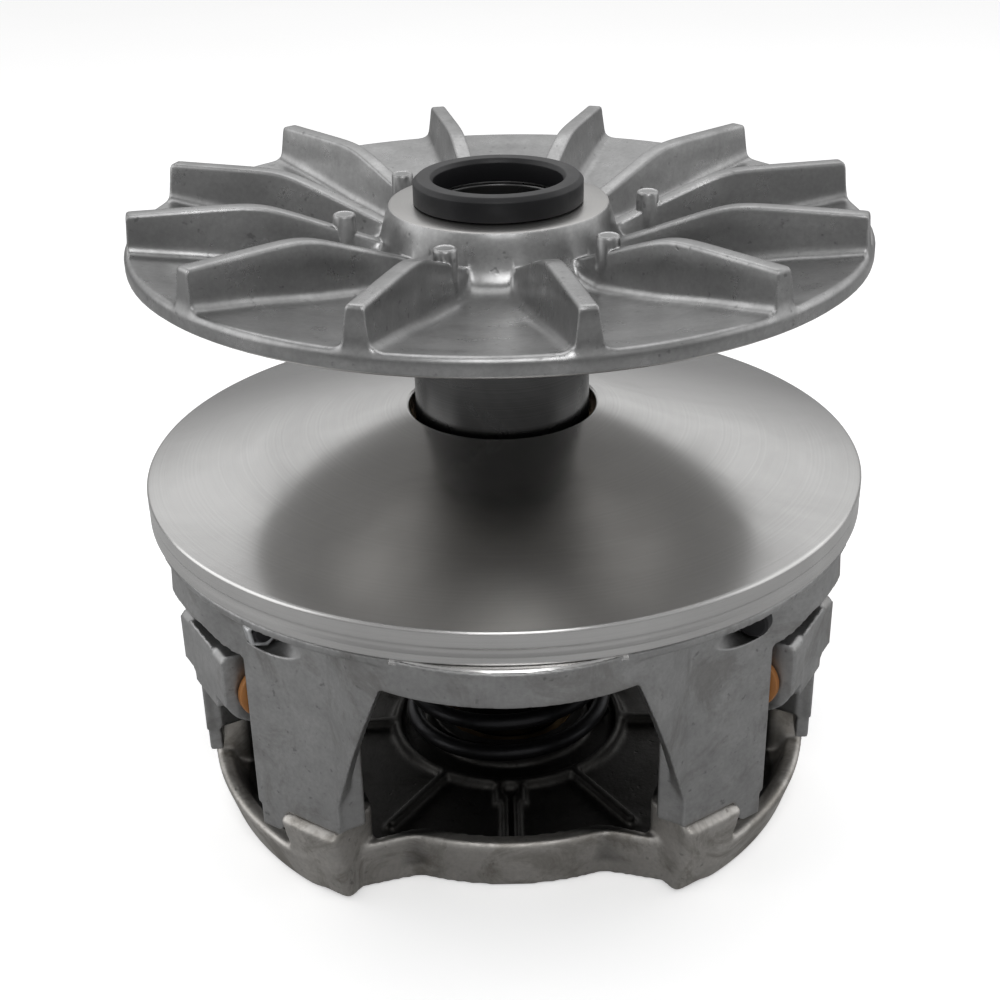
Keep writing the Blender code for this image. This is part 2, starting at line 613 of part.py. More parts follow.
def main():
    clear_scene()
    materials = {
        "cast": make_material("cast_aluminium", (0.52, 0.52, 0.51), 0.42, 0.9),
        "machined": make_material("machined_aluminium", (0.62, 0.61, 0.58), 0.28, 1.0),
        "cover": make_material("cover_casting", (0.50, 0.49, 0.46), 0.5, 0.85),
        "steel": make_material("dark_steel", (0.20, 0.20, 0.21), 0.32, 1.0),
        "black": make_material("black_oxide", (0.03, 0.03, 0.035), 0.45, 0.6),
        "forged": make_material("forged_steel", (0.26, 0.26, 0.27), 0.5, 0.9),
        "zinc": make_material("zinc_plate", (0.75, 0.76, 0.78), 0.25, 1.0),
        "bronze": make_material("bearing_bronze", (0.55, 0.36, 0.16), 0.4, 0.9),
        "polymer": make_material("slider_polymer", (0.60, 0.24, 0.04), 0.5, 0.0),
        "spring": make_material("spring_steel", (0.12, 0.12, 0.13), 0.4, 0.9),
    }
    shaft = make_empty("shaft_group", (0.0, 0.0, 0.0))
    movable = make_empty("movable_group", (0.0, 0.0, 0.0))
    fixed_to_shaft = [
        build_post(materials["steel"]),
        build_fixed_sheave(materials["cast"]),
        build_collar(materials["black"]),
        build_spider(materials["cast"]),
        turned("spider_washer", [(POST_LOW_R + GAP, POST_STEP - GAP), (POST_LOW_R + GAP, POST_STEP - 2.1),
                                 (27.0, POST_STEP - 2.1), (27.0, POST_STEP - GAP)],
               materials["zinc"], segments=48),
        turned("spider_nut", [(POST_LOW_R + GAP, SPIDER_LOW - GAP), (POST_LOW_R + GAP, SPIDER_LOW - 5.0),
                              (22.5, SPIDER_LOW - 5.0), (22.5, SPIDER_LOW - GAP)],
               materials["black"], segments=24),
    ]
    on_movable = [
        build_movable_sheave(materials["machined"]),
        turned("sheave_bushing", [(POST_R + GAP, RIM_Z - 24.0), (POST_R + GAP, RIM_Z + 6.0),
                                  (MOVABLE_BORE_R - GAP, RIM_Z + 6.0), (MOVABLE_BORE_R - GAP, RIM_Z - 24.0)],
               materials["bronze"]),
        build_cover(materials["cover"]),
        turned("cover_bushing", [(POST_LOW_R + GAP, 1.0), (POST_LOW_R + GAP, COVER_BOSS_TOP - 1.0),
                                 (POST_LOW_R + 2.9, COVER_BOSS_TOP - 1.0), (POST_LOW_R + 2.9, 1.0)],
               materials["bronze"]),
        build_spring(materials["spring"]),
    ]
    bpy.context.view_layer.update()
    for piece in fixed_to_shaft:
        piece.parent = shaft
    for piece in on_movable:
        piece.parent = movable
    for index, azimuth in enumerate(STATIONS):
        build_station(index, azimuth, materials, shaft, movable)
    build_screws(materials["zinc"], movable)


main()
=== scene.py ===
"""Looks of the drive clutch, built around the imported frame.

The mesh code below works in millimetres in the row frame: +Z up the shaft, azimuths in degrees
from the front (-Y) towards +X, windows at 0, 120 and 240 and roller stations at 60, 180 and 300.
"""
import math

import bmesh
import bpy
from mathutils import Matrix, Vector


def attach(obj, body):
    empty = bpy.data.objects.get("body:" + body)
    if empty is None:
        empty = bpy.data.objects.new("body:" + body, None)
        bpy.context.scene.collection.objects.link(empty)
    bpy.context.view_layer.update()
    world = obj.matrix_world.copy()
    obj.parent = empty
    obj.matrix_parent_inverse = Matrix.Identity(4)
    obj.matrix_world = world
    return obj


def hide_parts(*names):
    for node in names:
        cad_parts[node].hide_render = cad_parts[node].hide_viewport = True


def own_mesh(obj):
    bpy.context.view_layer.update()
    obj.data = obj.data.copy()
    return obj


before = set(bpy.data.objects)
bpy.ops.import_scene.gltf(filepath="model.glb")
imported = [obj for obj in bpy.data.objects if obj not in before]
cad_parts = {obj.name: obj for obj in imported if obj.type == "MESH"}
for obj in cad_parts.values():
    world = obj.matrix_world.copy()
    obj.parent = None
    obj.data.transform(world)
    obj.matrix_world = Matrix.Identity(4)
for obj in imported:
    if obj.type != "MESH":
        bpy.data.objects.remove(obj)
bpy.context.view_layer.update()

MM = 0.001                       # metres in a millimetre
RIM_Z = 101.1                    # upper edge of the movable sheave's rim
SHEAVE_R, FIXED_R = 100.0, 98.0  # rims of the movable and the fixed sheave
SLOPE = 0.207                    # rise of a belt face per millimetre of radius
GAP = 0.3                        # clearance between neighbouring pieces
SHIFT, SWING = 28.0, 24.0        # travel of the movable sheave, and degrees that a weight swings
WINDOWS = (0.0, 120.0, 240.0)
STATIONS = (60.0, 180.0, 300.0)
SIDES = (-1, 1)

# Post and fixed sheave. R is a radius, Z a height, AZ an azimuth.
POST_R, POST_TOP, POST_STEP, POST_LOW_R = 24.3, RIM_Z + 72.1, RIM_Z - 28.0, 17.0
POST_BORE_R = POST_LOW_R + GAP               # bore of whatever sits on the lower post
FIXED_RIM_UP = 61.3                          # lower edge of its rim, above RIM_Z
FIXED_BORE_R, HUB_R, HUB_Z = 21.3, 29.4, RIM_Z + 72.4
FINS, FIN_FIRST_AZ, FIN_TOP = 12, 11.0, RIM_Z + 76.3
FIN_INNER_R, FIN_INNER_UP = 34.0, 65.0       # inner end of a fin's top, the height above RIM_Z
FIN_RAMP, FIN_RISE = 28.0, 11.3              # its ramp: length and rise
VALLEY_FROM, VALLEY_TO = 42.0, 94.6          # radii between which the fins are straight

# Casting under the movable sheave. U is a distance along an azimuth, D along a panel's direction.
TOWER_LOW, SKIRT_LOW, LOBE_LOW, BAND_LOW = RIM_Z - 75.0, RIM_Z - 21.5, RIM_Z - 19.7, RIM_Z - 9.3
PANEL_AZ, PANEL_D, PANEL_FROM, PANEL_TO = 34.6, 89.7, 30.0, 48.0
GUSSET_FROM, GUSSET_LOW = 18.5, RIM_Z - 66.0
LOBE_R, LOBE_OFFSET = 57.9, 44.3             # round bulge over each window
SLOT_HALF = 17.9                             # half width between the two towers of a station
PIVOT_U, PIVOT_Z, PIVOT_R, POCKET_R = 86.0, RIM_Z - 20.0, 2.9, 5.0

# Spider and rollers
ROLLER_U, ROLLER_Z, ROLLER_R, ROLLER_HALF = 83.5, RIM_Z - 43.0, 7.0, 6.4
ARM_HALF, ARM_SLOT_HALF, ARM_END_U = 15.0, 7.2, 95.0
ARM_TOP, ARM_LOW = RIM_Z - 30.6, RIM_Z - 50.0
WEB_R, WEB_LOW = 38.0, RIM_Z - 36.0

# Cover, its ribs and screws, and the spring on it
COVER_R, COVER_WINDOW_R, FLOOR_LOW, FLOOR_HIGH = 89.4, 69.0, 4.0, 8.0
RIB_AZ, RIB_FROM, RIB_REACH = 33.0, 34.2, 63.0
PAD_TOP = TOWER_LOW - GAP
SCREW_D, SCREW_T, SCREW_R, SCREW_HEAD_R = 80.0, 3.0, 3.0, 4.9
SPRING_R, SPRING_WIRE_R, SPRING_TURNS = 29.0, 2.4, 5.0
SPRING_LOW, SPRING_HIGH = FLOOR_HIGH + GAP, WEB_LOW - GAP


# Geometry helpers


def outward(azimuth):
    """Unit vector away from the shaft, at an azimuth."""
    a = math.radians(azimuth)
    return Vector((math.sin(a), -math.cos(a), 0.0))


def across(azimuth):
    """Unit vector across an azimuth, towards larger azimuths."""
    a = math.radians(azimuth)
    return Vector((math.cos(a), math.sin(a), 0.0))


def place(azimuth, u, s, z):
    """Point from its distance along an azimuth, its offset across it, and its height."""
    return outward(azimuth) * u + across(azimuth) * s + Vector((0.0, 0.0, z))


def folded(azimuth):
    """Angle from the nearest window's centre, 0 to 60."""
    turn = azimuth % 120.0
    return min(turn, 120.0 - turn)


def smooth_step(value, low, high):
    """0 at low, 1 at high, with no corner at either."""
    t = min(max((value - low) / (high - low), 0.0), 1.0)
    return t * t * (3.0 - 2.0 * t)


def mix(a, b, t):
    """The value a share t of the way from a to b."""
    return a + (b - a) * t


def soften(loop, radius, steps=4, keep=()):
    """Round the corners of a closed outline of (x, y) points. Corners listed in keep stay sharp."""
    result = []
    count = len(loop)
    for i, corner in enumerate(loop):
        here = Vector(corner)
        before = Vector(loop[i - 1]) - here
        after = Vector(loop[(i + 1) % count]) - here
        angle = before.angle(after, math.pi)
        if i in keep or angle > math.radians(172.0):
            result.append(tuple(here))
            continue
        reach = min(radius / math.tan(angle / 2.0), before.length * 0.48, after.length * 0.48)
        start, end = here + before.normalized() * reach, here + after.normalized() * reach
        for k in range(steps + 1):
            t = k / steps
            point = start * (1 - t) ** 2 + here * (2 * t * (1 - t)) + end * t * t
            result.append(tuple(point))
    return result


def make_object(name, points, faces, sharp=32.0):
    """A mesh object at the origin of the row frame, from points in millimetres."""
    mesh = bpy.data.meshes.new(name)
    mesh.from_pydata([Vector(p) * MM for p in points], [], faces)
    work = bmesh.new()
    work.from_mesh(mesh)
    bmesh.ops.remove_doubles(work, verts=work.verts, dist=0.000004)
    bmesh.ops.recalc_face_normals(work, faces=work.faces)
    work.to_mesh(mesh)
    work.free()
    mesh.shade_smooth()
    mesh.set_sharp_from_angle(angle=math.radians(sharp))
    made = bpy.data.objects.new(name, mesh)
    bpy.context.collection.objects.link(made)
    return made


def ring_faces(rings, size):
    """Faces of a band of closed rings that joins up with itself."""
    faces = []
    for i in range(rings):
        j = (i + 1) % rings
        for k in range(size):
            m = (k + 1) % size
            faces.append((i * size + k, j * size + k, j * size + m, i * size + m))
    return faces


def polar_solid(name, loop_at, azimuths, **options):
    """A ring solid: loop_at(azimuth) gives the closed section, as (radius, height) points."""
    points = []
    size = 0
    for azimuth in azimuths:
        loop = loop_at(azimuth)
        size = len(loop)
        points += [place(azimuth, r, 0.0, z) for r, z in loop]
    return make_object(name, points, ring_faces(len(azimuths), size), **options)


def turned(name, loop, segments=180, **options):
    """Turn a closed (radius, height) section about the shaft."""
    return polar_solid(name, lambda azimuth: loop, [360.0 * i / segments for i in range(segments)],
                       **options)


def lathe(name, centre, axis, loop, segments=40, turn=0.0, **options):
    """Turn a closed (radius, distance along the axis) section about an axis through a centre."""
    axis = Vector(axis).normalized()
    side = axis.orthogonal().normalized()
    up = axis.cross(side)
    points = []
    for i in range(segments):
        a = 2.0 * math.pi * i / segments + turn
        spoke = side * math.cos(a) + up * math.sin(a)
        points += [Vector(centre) + axis * along + spoke * r for r, along in loop]
    return make_object(name, points, ring_faces(segments, len(loop)), **options)


def prism(name, outline, step, **options):
    """Extrude an outline of points by one step."""
    first = [Vector(p) for p in outline]
    last = [p + Vector(step) for p in first]
    count = len(outline)
    faces = [tuple(range(count)), tuple(range(2 * count - 1, count - 1, -1))]
    faces += [(i, count + i, count + (i + 1) % count, (i + 1) % count) for i in range(count)]
    return make_object(name, first + last, faces, **options)


def stack(name, outlines, **options):
    """A closed solid through outlines of the same number of points, one above the other."""
    count, last = len(outlines[0]), len(outlines) - 1
    faces = [tuple(range(count)), tuple(last * count + i for i in reversed(range(count)))]
    for level in range(last):
        for i in range(count):
            j = (i + 1) % count
            low, high = level * count, (level + 1) * count
            faces.append((low + i, high + i, high + j, low + j))
    return make_object(name, [point for outline in outlines for point in outline], faces, **options)


def station_box(azimuth, u_range, s_range, z_range):
    """A box with its sides along and across an azimuth."""
    (u0, u1), (s0, s1), (z0, z1) = u_range, s_range, z_range
    outline = [place(azimuth, u, s, z0) for u, s in ((u0, s0), (u1, s0), (u1, s1), (u0, s1))]
    return prism("box", outline, (0.0, 0.0, z1 - z0))


def rod(centre, axis, radius, span, segments=32):
    """A cylinder between two distances along an axis."""
    near, far = span
    return lathe("rod", centre, axis, [(0.0, near), (radius, near), (radius, far), (0.0, far)], segments)


def bake_modifiers(target):
    """Apply the target's modifiers to its mesh."""
    bpy.context.view_layer.update()
    evaluated = target.evaluated_get(bpy.context.evaluated_depsgraph_get())
    result = bpy.data.meshes.new_from_object(evaluated)
    target.modifiers.clear()
    target.data = result
    return target


def join(name, shells):
    """One object that holds all the shells."""
    work = bmesh.new()
    for shell in shells:
        work.from_mesh(shell.data)
        bpy.data.objects.remove(shell, do_unlink=True)
    mesh = bpy.data.meshes.new(name)
    work.to_mesh(mesh)
    work.free()
    made = bpy.data.objects.new(name, mesh)
    bpy.context.collection.objects.link(made)
    return made


def cut(target, tools, operation="DIFFERENCE"):
    """Boolean each tool into the target and remove the tools."""
    for tool in tools:
        change = target.modifiers.new("cut", "BOOLEAN")
        change.operation = operation
        change.solver = "MANIFOLD"
        change.object = tool
    bake_modifiers(target)
    for tool in tools:
        bpy.data.objects.remove(tool, do_unlink=True)
    return target


def casting(name, shells, voxel, rounds, share):
    """Overlapping shells made into one skin with the small fillets that a casting has."""
    made = join(name, shells)
    remesh = made.modifiers.new("skin", "REMESH")
    remesh.mode = "VOXEL"
    remesh.voxel_size = voxel * MM
    relax = made.modifiers.new("fillets", "SMOOTH")
    relax.factor = 0.5
    relax.iterations = rounds
    thin = made.modifiers.new("thin", "DECIMATE")
    thin.ratio = share
    return bake_modifiers(made)


def finish_casting(made, sharp=34.0):
    """Smooth shading up to an angle in degrees."""
    made.data.shade_smooth()
    made.data.set_sharp_from_angle(angle=math.radians(sharp))
    return made


# Materials


class Paint:
    """A principled material with its nodes added one call at a time."""

    def __init__(self, name, metallic, **fixed):
        self.material = bpy.data.materials.new(name)
        self.material.use_nodes = True
        self.tree = self.material.node_tree
        self.shader = self.tree.nodes["Principled BSDF"]
        self.shader.inputs["Metallic"].default_value = metallic
        for socket, value in fixed.items():
            self.shader.inputs[socket.replace("_", " ")].default_value = value
        self.place = self.add("ShaderNodeTexCoord").outputs["Object"]

    def add(self, kind, inputs=None, **settings):
        made = self.tree.nodes.new(kind)
        for key, value in settings.items():
            setattr(made, key, value)
        for key, value in (inputs or {}).items():
            self.feed(made.inputs[key], value)
        return made

    def feed(self, socket, value):
        if isinstance(value, bpy.types.NodeSocket):
            self.tree.links.new(value, socket)
        else:
            socket.default_value = value

    def noise(self, scale, detail=3.0, rough=0.55, vector=None, warp=0.0):
        made = self.add("ShaderNodeTexNoise", {
            "Vector": vector or self.place, "Scale": scale, "Detail": detail,
            "Roughness": rough, "Distortion": warp})
        return made.outputs["Fac"]

    def remap(self, value, low, high, to_low=0.0, to_high=1.0):
        made = self.add("ShaderNodeMapRange", {
            "Value": value, "From Min": low, "From Max": high, "To Min": to_low, "To Max": to_high})
        return made.outputs["Result"]

    def blend(self, share, first, second):
        made = self.add("ShaderNodeMix", {"Factor": share}, data_type="RGBA")
        self.feed(made.inputs[6], first)
        self.feed(made.inputs[7], second)
        return made.outputs[2]

    def math(self, operation, a, b=0.0):
        made = self.add("ShaderNodeMath", operation=operation)
        self.feed(made.inputs[0], a)
        self.feed(made.inputs[1], b)
        return made.outputs[0]

    def edges(self, radius):
        """A mask of the convex and concave edges, and the normal rounded over them."""
        rounded = self.add("ShaderNodeBevel", {"Radius": radius * MM}, samples=4).outputs[0]
        plain = self.add("ShaderNodeNewGeometry").outputs["Normal"]
        likeness = self.add("ShaderNodeVectorMath", {0: rounded, 1: plain}, operation="DOT_PRODUCT")
        return self.remap(likeness.outputs["Value"], 0.995, 0.86), rounded

    def bump(self, height, distance, strength=1.0, normal=None):
        inputs = {"Height": height, "Distance": distance * MM, "Strength": strength}
        if normal is not None:
            inputs["Normal"] = normal
        return self.add("ShaderNodeBump", inputs).outputs["Normal"]

    def radius(self):
        flat = self.add("ShaderNodeVectorMath", {0: self.place, 1: (1.0, 1.0, 0.0)},
                        operation="MULTIPLY").outputs[0]
        return self.add("ShaderNodeVectorMath", {0: flat}, operation="LENGTH").outputs["Value"]

    def rings(self, scale, detail=4.0):
        """Noise that runs in rings round the shaft, as a turning tool leaves."""
        height = self.add("ShaderNodeSeparateXYZ", {0: self.place}).outputs["Z"]
        along = self.math("ADD", self.radius(), height)
        made = self.add("ShaderNodeTexNoise", {"W": along, "Scale": scale, "Detail": detail},
                        noise_dimensions="1D")
        return made.outputs["Fac"]

    def finish(self, colour, roughness, normal=None):
        self.feed(self.shader.inputs["Base Color"], colour)
        self.feed(self.shader.inputs["Roughness"], roughness)
        if normal is not None:
            self.feed(self.shader.inputs["Normal"], normal)
        return self.material


def grey(value, warmth=0.0):
    return (value * (1.0 + warmth), value, value * (1.0 - 1.4 * warmth), 1.0)


def cast_metal(name, dark, light, edge, rough, warmth=0.0, stain=0.0, grain=0.05, wear=0.9, painted_shade_bowl=None):
    """Bare cast aluminium: cloudy patches, sandy grain, small pits and rubbed edges.

    The last argument is (radius at a window, radius at a station, height): within these radii and above this
    height the casting is painted near black, a painted shade for the deep hollow of the cover.
    """
    paint = Paint(name, 1.0)
    cloud = paint.remap(paint.noise(26.0, 4.0, 0.6, warp=0.6), 0.34, 0.66)
    patch = paint.remap(paint.noise(120.0, 5.0, 0.62), 0.32, 0.68)
    fine = paint.noise(900.0, 3.0, 0.6)
    tone = paint.math("MULTIPLY_ADD", cloud, 0.5)
    paint.feed(tone.node.inputs[2], paint.math("MULTIPLY", patch, 0.5))
    colour = paint.blend(tone, grey(dark, warmth), grey(light, warmth))
    colour = paint.blend(paint.remap(fine, 0.35, 0.75, 0.0, 0.35), colour, grey(dark * 0.75, warmth))
    if stain:
        smear = paint.remap(paint.noise(38.0, 6.0, 0.7, warp=1.4), 0.50, 0.62, 0.0, stain)
        colour = paint.blend(smear, colour, grey(dark * 0.55, warmth + 0.05))
    worn, rounded = paint.edges(0.8)
    worn = paint.math("MULTIPLY", worn, paint.remap(patch, 0.0, 1.0, 0.6 * wear, wear))
    colour = paint.blend(worn, colour, grey(edge, warmth))
    pits = paint.remap(paint.noise(420.0, 2.0, 0.5), 0.24, 0.33, 1.0, 0.0)
    colour = paint.blend(paint.math("MULTIPLY", pits, 0.5), colour, grey(dark * 0.4, warmth))
    # Painted shade: within the last argument's radii and above its height, the deep hollow of the cover is
    # painted near black.
    if painted_shade_bowl:
        at_window, at_station, bottom = painted_shade_bowl
        x, y, height = paint.add("ShaderNodeSeparateXYZ", {0: paint.place}).outputs
        swing = paint.math("COSINE", paint.math("MULTIPLY", paint.math("ARCTAN2", x, y), 3.0))
        limit = paint.remap(swing, -1.0, 1.0, at_window * MM, at_station * MM)
        beyond = paint.math("SUBTRACT", paint.radius(), limit)
        painted_shade_share = paint.math("MULTIPLY", paint.remap(beyond, 0.0, 2.5 * MM, 1.0, 0.0),
                            paint.remap(height, (bottom - 2.0) * MM, bottom * MM))
        colour = paint.blend(paint.math("MULTIPLY", painted_shade_share, 0.9), colour, grey(0.012, 0.02))
    gloss = paint.remap(patch, 0.0, 1.0, rough + 0.07, rough - 0.05)
    gloss = paint.math("SUBTRACT", gloss, paint.math("MULTIPLY", worn, 0.1))
    relief = paint.math("SUBTRACT", paint.math("ADD", fine, paint.math("MULTIPLY", patch, 0.6)), pits)
    return paint.finish(colour, gloss, paint.bump(relief, grain, 1.0, rounded))


def turned_metal(name, dark, light, rough, warmth=0.0, groove=0.0015, pitch=2200.0, streak=0.12):
    """Metal off a lathe: fine rings of its own tool marks, faint handling smears."""
    paint = Paint(name, 1.0, Anisotropic=streak)
    tangent = paint.add("ShaderNodeTangent", direction_type="RADIAL", axis="Z")
    paint.feed(paint.shader.inputs["Tangent"], tangent.outputs[0])
    ring = paint.rings(pitch)
    smear = paint.noise(22.0, 4.0, 0.6, warp=0.8)
    tone = paint.math("ADD", paint.math("MULTIPLY", ring, 0.25), paint.math("MULTIPLY", smear, 0.75))
    colour = paint.blend(paint.remap(tone, 0.35, 0.65), grey(dark, warmth), grey(light, warmth))
    worn, rounded = paint.edges(0.5)
    colour = paint.blend(paint.math("MULTIPLY", worn, 0.6), colour, grey(min(light * 1.15, 0.9), warmth))
    gloss = paint.remap(smear, 0.3, 0.7, rough + 0.05, rough - 0.03)
    return paint.finish(colour, gloss, paint.bump(ring, groove, 1.0, rounded))


def dull_solid(name, dark, light, metallic, rough, scale=260.0, grain=0.03, **fixed):
    """Oxide, plating or moulded plastic: a tone that varies a little, with its own grain."""
    paint = Paint(name, metallic, **fixed)
    cloud = paint.remap(paint.noise(60.0, 4.0, 0.6, warp=0.5), 0.3, 0.7)
    fine = paint.noise(scale * 4.0, 3.0, 0.6)
    colour = paint.blend(cloud, (*dark, 1.0), (*light, 1.0))
    worn, rounded = paint.edges(0.45)
    lifted = tuple(min(c * 1.6 + 0.01, 0.95) for c in light)
    colour = paint.blend(paint.math("MULTIPLY", worn, 0.55), colour, (*lifted, 1.0))
    gloss = paint.remap(cloud, 0.0, 1.0, rough + 0.06, rough - 0.05)
    return paint.finish(colour, gloss, paint.bump(fine, grain, 1.0, rounded))


looks = {
    "fan": cast_metal("fan_casting", 0.29, 0.47, 0.92, 0.30, 0.0, grain=0.02),
    "tower": cast_metal("tower_casting", 0.33, 0.49, 0.68, 0.42, 0.0, stain=0.4, grain=0.04, wear=0.7),
    # The cover's last argument paints shade near black over the deep hollow of the cover.
    "cover": cast_metal("cover_metal", 0.42, 0.66, 0.76, 0.46, 0.035, stain=0.65, grain=0.06, wear=0.7,
                        painted_shade_bowl=(61.5, 83.5, 6.0)),
    "cone": turned_metal("turned_cone", 0.58, 0.68, 0.20, 0.008),
    "face": turned_metal("turned_face", 0.42, 0.52, 0.32, 0.015, pitch=3000.0),
    "post": turned_metal("turned_steel", 0.09, 0.15, 0.26, 0.0, pitch=3000.0),
    "collar": dull_solid("black_collar", (0.006, 0.006, 0.007), (0.013, 0.013, 0.015), 0.1, 0.42),
    "oxide": dull_solid("black_oxide_steel", (0.02, 0.02, 0.022), (0.045, 0.045, 0.048), 0.7, 0.42),
    "spring": dull_solid("coil_steel", (0.018, 0.018, 0.020), (0.04, 0.04, 0.043), 0.8, 0.38),
    "forged": dull_solid("forged_weight", (0.12, 0.12, 0.125), (0.20, 0.20, 0.20), 1.0, 0.45, grain=0.05),
    "zinc": dull_solid("bright_zinc", (0.62, 0.63, 0.64), (0.80, 0.81, 0.82), 0.65, 0.32, grain=0.01),
    "bronze": dull_solid("oiled_bronze", (0.12, 0.075, 0.035), (0.20, 0.13, 0.06), 1.0, 0.38),
    "polymer": dull_solid("amber_polymer", (0.30, 0.11, 0.025), (0.45, 0.19, 0.05), 0.0, 0.42, grain=0.02),
    "steel": dull_solid("ground_steel", (0.26, 0.26, 0.27), (0.38, 0.38, 0.39), 1.0, 0.26, grain=0.01),
}


def dress(made, look, body, slot, *nodes):
    """Give a piece its material, the body it rides on and the CAD nodes it stands for. The slot argument is
    not used.
    """
    made.data.materials.clear()
    made.data.materials.append(looks[look])
    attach(made, body)
    if nodes:
        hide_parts(*nodes)
    return made


# Fixed sheave: disc, hub and fins on one grid


def valley_height(r):
    """Floor between the fins, from the hub's foot out to the rim."""
    marks = ((VALLEY_FROM, 58.3), (62.0, 60.8), (80.0, 64.0), (97.0, 66.4))
    for (r0, z0), (r1, z1) in zip(marks, marks[1:]):
        if r <= r1:
            return RIM_Z + mix(z0, z1, (r - r0) / (r1 - r0))
    return RIM_Z + marks[-1][1]


def fin_crest(r):
    """Top of a fin: a ramp up from the hub that levels off at its break."""
    ramp = RIM_Z + FIN_INNER_UP + (r - FIN_INNER_R) * FIN_RISE / FIN_RAMP
    sharpness = 0.9
    return -math.log(math.exp(-ramp * sharpness + FIN_TOP * sharpness) + 1.0) / sharpness + FIN_TOP


def fixed_sheave():
    """Disc, hub and fins as one grid of turned rows and columns, with the moulding pins joined on."""
    hub = [(HUB_R - 0.9, HUB_Z), (HUB_R - 0.3, HUB_Z - 0.2), (HUB_R, HUB_Z - 0.8),
           (29.9, RIM_Z + 70.4), (30.5, RIM_Z + 68.2)]
    rows = [("plain", r, z, z) for r, z in hub]
    foot = [(31.1, 66.1), (31.7, 64.0), (32.5, 62.2), (33.6, 60.6), (35.0, 59.5), (36.8, 58.8),
            (39.0, 58.4), (VALLEY_FROM, 58.3)]
    fins_from = 31.4
    for r, z in foot:
        rows.append(("fin", r, RIM_Z + z, max(fin_crest(r), RIM_Z + z) if r > fins_from else RIM_Z + z))
    steps = 34
    for i in range(1, steps + 1):
        r = mix(VALLEY_FROM, VALLEY_TO, i / steps)
        rows.append(("fin", r, valley_height(r), fin_crest(r)))
    # outer ends of the fins and the rim under them: (radius, height) at the floor and at the crest
    ends = [((95.5, 66.2), (95.5, 76.27)), ((96.0, 66.3), (95.95, 76.1)), ((96.4, 66.34), (96.2, 75.75)),
            ((96.8, 66.32), (96.35, 75.1)), ((97.1, 66.25), (96.45, 72.4)), ((97.35, 66.1), (96.6, 69.4)),
            ((97.6, 65.85), (96.95, 67.3)), ((97.85, 65.5), (97.6, 65.9)), ((98.0, 65.05), (98.0, 65.0))]
    band = [(FIXED_R, 62.7), (97.85, 62.0), (97.1, 61.35)]
    under = [(r, FIXED_RIM_UP - SLOPE * (FIXED_R - r)) for r in (90.0, 80.0, 66.0, 50.0, 36.0, 25.2)]
    bore = [(24.6, under[-1][1] + 0.2), (FIXED_BORE_R + 0.5, under[-1][1] + 0.4),
            (FIXED_BORE_R, under[-1][1] + 1.0)]
    # side offsets and how far each column sits below the crest or above the floor
    crest = [(0.0, 0.0), (1.5, 0.0), (1.85, 0.08), (2.15, 0.35), (2.3, 0.9)]
    root = [(3.0, 3.4), (3.15, 2.3), (3.5, 1.3), (4.2, 0.6), (5.2, 0.18), (6.4, 0.0)]
    side_columns = crest + [(2.65, None)] + root
    foot_s, foot_h = root[0]
    valley_steps = 7

    def column_list(r, floor, top):
        """(azimuth from the fin's centre, share of the fin's height) of every column to the next fin."""
        height = top - floor
        spread = min(1.0, max(height, 0.0) / 8.0)
        halves = []
        for index, (s, h) in enumerate(side_columns):
            if index < len(crest):
                level = height - h * min(1.0, height / 3.0) if height > 0.01 else 0.0
            elif h is None:
                level = mix(foot_h * spread, height - 1.0 * min(1.0, height / 3.0), 0.5)
            else:
                level = h * spread
            offset = s if s <= foot_s else foot_s + (s - foot_s) * max(spread, 0.4)
            angle = math.degrees(math.asin(offset / max(r, 33.0)))
            halves.append((angle, min(level / height, 1.0) if height > 0.01 else 0.0))
        last = halves[-1][0]
        pitch = 360.0 / FINS
        middle = [(mix(last, pitch - last, i / valley_steps), 0.0) for i in range(1, valley_steps)]
        other = [(pitch - angle, share) for angle, share in reversed(halves[1:])]
        return halves + middle + other

    def dish(angle, r):
        """How far the valley floor sags between two fins."""
        pitch = 360.0 / FINS
        return -0.55 * math.sin(math.pi * angle / pitch) ** 2 * smooth_step(r, 40.0, 50.0) * (
            1.0 - smooth_step(r, 88.0, 95.0))

    grid = []
    for kind, r, floor, top in rows:
        columns = column_list(r, floor, top)
        grid.append([(angle, r, mix(floor, top, share) + (dish(angle, r) if kind == "fin" else 0.0))
                     for angle, share in columns])
    rim_columns = column_list(97.0, RIM_Z + 66.3, RIM_Z + 76.3)
    for (floor_r, floor_z), (top_r, top_z) in ends:
        grid.append([(angle, mix(floor_r, top_r, share), RIM_Z + mix(floor_z, top_z, share))
                     for angle, share in rim_columns])
    for r, z in band + under + bore:
        grid.append([(angle, r, RIM_Z + z) for angle, share in rim_columns])
    first = column_list(30.0, 0.0, 0.0)
    for r, z in ((FIXED_BORE_R, HUB_Z - 0.6), (FIXED_BORE_R + 0.6, HUB_Z)):
        grid.append([(angle, r, z) for angle, share in first])
    points = []
    count = len(grid[0])
    for fin in range(FINS):
        centre = FIN_FIRST_AZ + 360.0 * fin / FINS
        for k in range(count):
            points += [place(centre + row[k][0], row[k][1], 0.0, row[k][2]) for row in grid]
    made = make_object("fan_sheave", points, ring_faces(FINS * count, len(grid)), sharp=50.0)
    bosses = []
    for i in range(FINS // 2):
        floor = RIM_Z + 57.5
        section = [(0.0, 0.0), (5.2, 0.0), (4.1, 1.2), (3.4, 2.6), (3.1, 5.0), (3.0, 14.0),
                   (2.75, 14.35), (2.4, 14.5), (2.2, 14.3), (0.0, 14.25)]
        centre = place(FIN_FIRST_AZ + (2 * i + 1) * 360.0 / FINS, 41.0, 0.0, floor)
        bosses.append(lathe("boss", centre, (0, 0, 1), section, 28))
    cut(made, bosses, "UNION")
    made.data.shade_smooth()
    made.data.set_sharp_from_angle(angle=math.radians(38.0))
    return made


